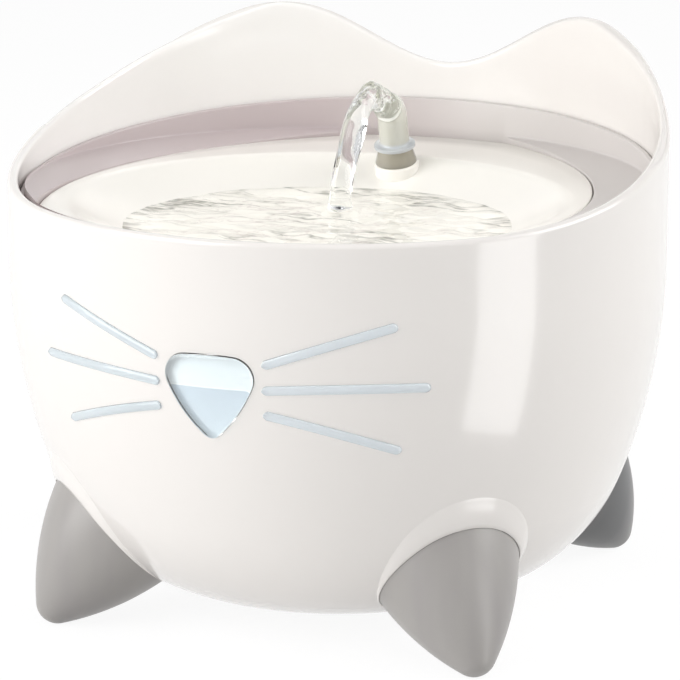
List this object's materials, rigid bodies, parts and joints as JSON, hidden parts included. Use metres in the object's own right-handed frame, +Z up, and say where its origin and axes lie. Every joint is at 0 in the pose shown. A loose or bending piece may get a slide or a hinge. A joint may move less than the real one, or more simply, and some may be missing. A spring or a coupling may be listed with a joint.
{
  "type": "pet water fountain",
  "caption": "Cat-eared drinking fountain: round bowl on pointed feet, clear nose window and whiskers, lift-out tray and dish, bent spout, and a pump with filter inside.",
  "frame": {"origin": "on the table, under the axis of the round bowl", "axes": "+Z up, -Y to the front with the nose, +X to the right seen from the front"},
  "size_m": [0.254, 0.2554, 0.2171],
  "materials": {
    "shell_white": "glossy white, smooth",
    "foot_grey": "satin warm grey",
    "rubber_black": "matte black",
    "rubber_grey": "soft grey rubber",
    "clear_blue": "clear, pale blue",
    "clear": "clear",
    "tray_grey": "satin warm grey",
    "dish_cream": "glossy cream",
    "filter_white": "plain moulded",
    "foam": "open-cell foam",
    "carbon": "loose grains in a pad",
    "pump_black": "plain moulded",
    "magnet": "ferrite",
    "steel": "stainless"
  },
  "bodies": {
    "base": {"shell": "shell_white", "foot_front_left": "foot_grey", "foot_front_right": "foot_grey", "foot_back_left": "foot_grey", "foot_back_right": "foot_grey", "foot_screws": "steel", "foot_pads": "rubber_grey", "nose_window": "clear_blue", "nose_gasket": "rubber_black", "nose_frame": "shell_white", "whisker_left_top": "clear_blue", "whisker_left_middle": "clear_blue", "whisker_left_low": "clear_blue", "whisker_right_top": "clear_blue", "whisker_right_middle": "clear_blue", "whisker_right_low": "clear_blue", "cord_gland": "rubber_black"},
    "tray": {"tray_ring": "tray_grey"},
    "dish": {"drinking_dish": "dish_cream", "riser_pipe": "clear"},
    "spout": {"spout": "clear", "spout_seal": "rubber_black"},
    "housing": {"filter_housing": "filter_white"},
    "cartridge": {"cartridge_frame": "filter_white", "cartridge_foam": "foam", "cartridge_carbon": "carbon"},
    "pump": {"pump_body": "pump_black", "rotor_shaft": "steel", "rear_bushing": "pump_black", "suction_cups": "rubber_black"},
    "cover": {"pump_cover": "pump_black"},
    "regulator": {"flow_regulator": "foot_grey"},
    "impeller": {"impeller": "filter_white", "rotor_magnet": "magnet"}
  },
  "joints": [
    {"name": "tray_lift", "type": "slide", "parent": "base", "child": "tray", "axis": [0, 0, 1], "range_m": [0, 0.34]},
    {"name": "dish_lift", "type": "slide", "parent": "tray", "child": "dish", "axis": [0, 0, 1], "range_m": [0, 0.05]},
    {"name": "spout_pull", "type": "slide", "parent": "dish", "child": "spout", "axis": [0, -0.2419, 0.9703], "range_m": [0, 0.03]},
    {"name": "housing_lift", "type": "slide", "parent": "base", "child": "housing", "axis": [0, 0, 1], "range_m": [0, 0.28]},
    {"name": "cartridge_lift", "type": "slide", "parent": "housing", "child": "cartridge", "axis": [0, 0, 1], "range_m": [0, 0.03]},
    {"name": "pump_lift", "type": "slide", "parent": "base", "child": "pump", "axis": [0, 0, 1], "range_m": [0, 0.21]},
    {"name": "cover_pull", "type": "slide", "parent": "pump", "child": "cover", "axis": [0, -1, 0], "range_m": [0, 0.022]},
    {"name": "flow_regulator_slide", "type": "slide", "parent": "cover", "child": "regulator", "axis": [1, 0, 0], "range_m": [0, 0.006]},
    {"name": "impeller_spin", "type": "hinge", "parent": "pump", "child": "impeller", "pos_m": [0, 0, 0.0301], "axis": [0, 1, 0], "continuous": true}
  ],
  "couplings": [
    {"joint": "housing_lift", "follows": "tray_lift", "ratio": 0.82},
    {"joint": "pump_lift", "follows": "tray_lift", "ratio": 0.615},
    {"joint": "cartridge_lift", "follows": "tray_lift", "ratio": 0.085}
  ]
}
